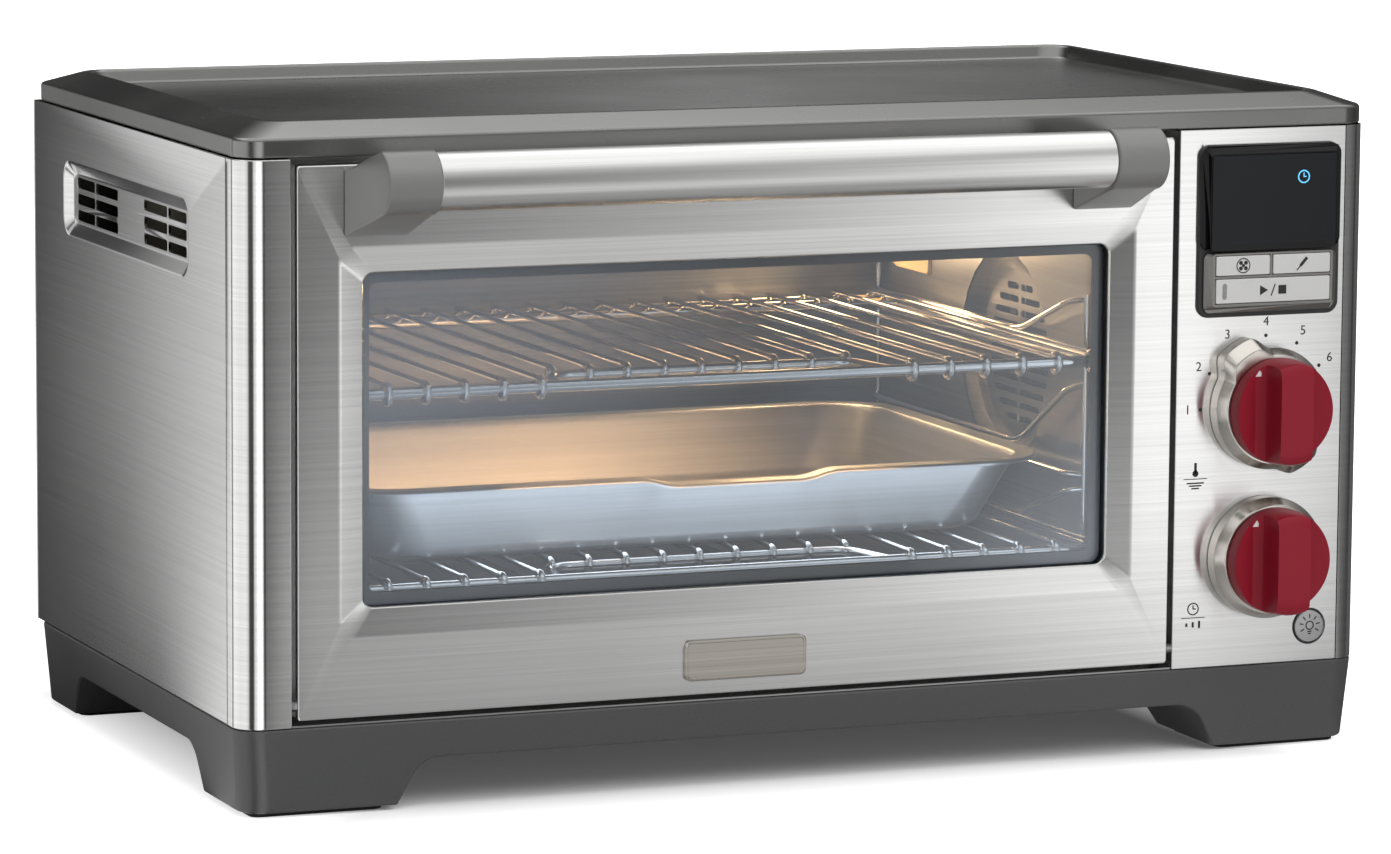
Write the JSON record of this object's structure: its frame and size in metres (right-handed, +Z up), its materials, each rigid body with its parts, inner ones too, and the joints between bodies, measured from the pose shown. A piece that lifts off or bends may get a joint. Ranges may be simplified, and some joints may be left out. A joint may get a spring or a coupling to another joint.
{
  "type": "toaster oven",
  "caption": "Countertop toaster oven with a drop-down glass door, bar handle, wire racks, baking pan, convection fan, display, buttons and turning knobs.",
  "frame": {"origin": "middle of the whole oven at the underside of the rubber pads", "axes": "+X to the right as the user faces the oven, +Y to the back, +Z up"},
  "size_m": [0.5716, 0.4124, 0.3175],
  "materials": {
    "brushed_steel": "vertical and horizontal brushed grain",
    "plain_steel": "mill finish, inside the case",
    "base_metal": "dark grey satin paint",
    "graphite": "graphite metallic paint, fine grain",
    "rubber": "matt black",
    "black_gloss": "opaque black display glass, clear over the screen",
    "black_plastic": "fine matt",
    "silver_key": "silver painted keys",
    "nickel": "satin nickel, turned grain",
    "red_plastic": "deep red, soft gloss",
    "door_glass": "tinted toughened glass with a dark printed border",
    "chrome": "bright chrome plating",
    "pan_steel": "satin stainless steel",
    "cavity_steel": "satin steel liner",
    "wool": "mineral wool",
    "green_board": "solder resist",
    "lamp_glass": "heat resistant lamp glass"
  },
  "bodies": {
    "case": {"base_moulding": "base_metal", "front_left_pad": "rubber", "front_right_pad": "rubber", "rear_left_pad": "rubber", "rear_right_pad": "rubber", "bottom_plate": "plain_steel", "left_side_panel": "brushed_steel", "right_side_panel": "brushed_steel", "back_panel": "plain_steel", "cord_bushing": "black_plastic", "left_wall_spacer": "black_plastic", "right_wall_spacer": "black_plastic", "top_cover": "graphite", "front_frame": "plain_steel", "door_seal": "rubber", "cavity_liner": "cavity_steel", "insulation_blanket": "wool", "upper_heating_element": "plain_steel", "lower_heating_element": "plain_steel", "fan_cover": "cavity_steel", "fan_housing": "plain_steel", "fan_motor": "base_metal", "lamp_lens": "lamp_glass", "lamp_housing": "plain_steel", "lamp_bulb": "lamp_glass", "temperature_sensor": "chrome", "left_rack_guide": "chrome", "right_rack_guide": "chrome", "left_hinge_block": "plain_steel", "right_hinge_block": "plain_steel", "control_panel": "brushed_steel", "display_tray": "black_plastic", "display_lens": "black_gloss", "key_block": "silver_key", "time_collar": "nickel", "dual_encoder": "black_plastic", "time_encoder": "black_plastic", "control_board": "green_board"},
    "door": {"door_skin": "brushed_steel", "outer_glass": "door_glass", "inner_glass": "door_glass", "door_inner_frame": "plain_steel", "badge_plate": "nickel", "handle_bar": "brushed_steel", "left_handle_bracket": "graphite", "right_handle_bracket": "graphite"},
    "upper_rack": {"upper_rack": "chrome"},
    "lower_rack": {"lower_rack": "chrome", "baking_pan": "pan_steel"},
    "crumb_tray": {"crumb_tray": "plain_steel"},
    "fan": {"fan_impeller": "plain_steel"},
    "mode_ring": {"mode_ring": "nickel"},
    "temperature_knob": {"temperature_knob": "red_plastic"},
    "time_knob": {"time_knob": "red_plastic"},
    "fan_button": {"fan_button": "silver_key"},
    "probe_button": {"probe_button": "silver_key"},
    "start_stop_button": {"start_stop_button": "silver_key"},
    "light_button": {"light_button": "silver_key"}
  },
  "joints": [
    {"name": "door_hinge", "type": "hinge", "parent": "case", "child": "door", "pos_m": [-0.03825, -0.1395, 0.0513], "axis": [1, 0, 0], "range_deg": [0, 85]},
    {"name": "upper_rack_slide", "type": "slide", "parent": "case", "child": "upper_rack", "axis": [0, -1, 0], "range_m": [0, 0.1484]},
    {"name": "lower_rack_slide", "type": "slide", "parent": "case", "child": "lower_rack", "axis": [0, -1, 0], "range_m": [0, 0.0624]},
    {"name": "crumb_tray_slide", "type": "slide", "parent": "case", "child": "crumb_tray", "axis": [0, -1, 0], "range_m": [0, 0.0165]},
    {"name": "fan_spin", "type": "hinge", "parent": "case", "child": "fan", "pos_m": [0.1624, 0.0055, 0.1778], "axis": [1, 0, 0], "continuous": true},
    {"name": "mode_ring_turn", "type": "hinge", "parent": "case", "child": "mode_ring", "pos_m": [0.2317, -0.1445, 0.1673], "axis": [0, 1, 0], "range_deg": [-60, 90]},
    {"name": "temperature_knob_turn", "type": "hinge", "parent": "case", "child": "temperature_knob", "pos_m": [0.2317, -0.1445, 0.1673], "axis": [0, 1, 0], "continuous": true},
    {"name": "time_knob_turn", "type": "hinge", "parent": "case", "child": "time_knob", "pos_m": [0.2317, -0.1445, 0.0948], "axis": [0, 1, 0], "continuous": true},
    {"name": "fan_button_press", "type": "slide", "parent": "case", "child": "fan_button", "axis": [0, 1, 0], "range_m": [0, 0.001], "stiffness_N_per_m": 600},
    {"name": "probe_button_press", "type": "slide", "parent": "case", "child": "probe_button", "axis": [0, 1, 0], "range_m": [0, 0.001], "stiffness_N_per_m": 600},
    {"name": "start_stop_press", "type": "slide", "parent": "case", "child": "start_stop_button", "axis": [0, 1, 0], "range_m": [0, 0.001], "stiffness_N_per_m": 600},
    {"name": "light_button_press", "type": "slide", "parent": "case", "child": "light_button", "axis": [0, 1, 0], "range_m": [0, 0.001], "stiffness_N_per_m": 600}
  ],
  "couplings": [
    {"joint": "upper_rack_slide", "follows": "door_hinge", "m_per_rad": 0.1},
    {"joint": "lower_rack_slide", "follows": "door_hinge", "m_per_rad": 0.042},
    {"joint": "crumb_tray_slide", "follows": "door_hinge", "m_per_rad": 0.011}
  ]
}
